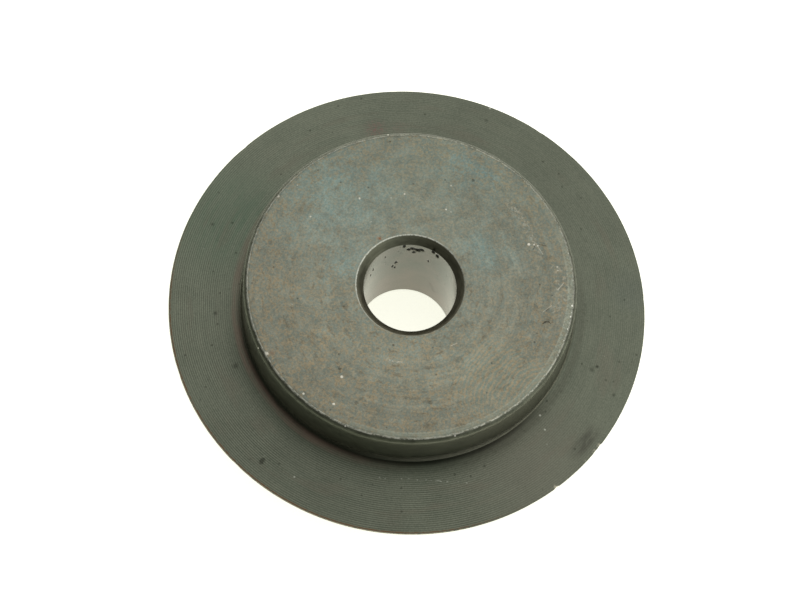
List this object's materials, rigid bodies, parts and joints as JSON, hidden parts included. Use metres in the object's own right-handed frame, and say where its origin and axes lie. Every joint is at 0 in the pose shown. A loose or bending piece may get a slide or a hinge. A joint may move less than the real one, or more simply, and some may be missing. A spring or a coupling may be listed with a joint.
{
  "type": "seam roller wheel",
  "caption": "Turned steel roller wheel with a thin tapered rim, a raised hub on each side and a chamfered through bore for its axle pin.",
  "frame": {"origin": "middle of the bore, in the plane of the rim", "axes": "+Z along the bore axis, out of the upper hub's face; X and Y lie in the plane of the rim. The wheel is stored lying on the face of its lower hub"},
  "size_m": [0.05, 0.05, 0.014],
  "materials": {
    "black_oxide_steel": "black oxide over turned steel, satin and mottled grey-brown on the faced hub, darker grey-green on the ring-turned rim, with a bright reamed bore"
  },
  "bodies": {
    "root": {"roller_wheel": "black_oxide_steel"}
  },
  "joints": []
}
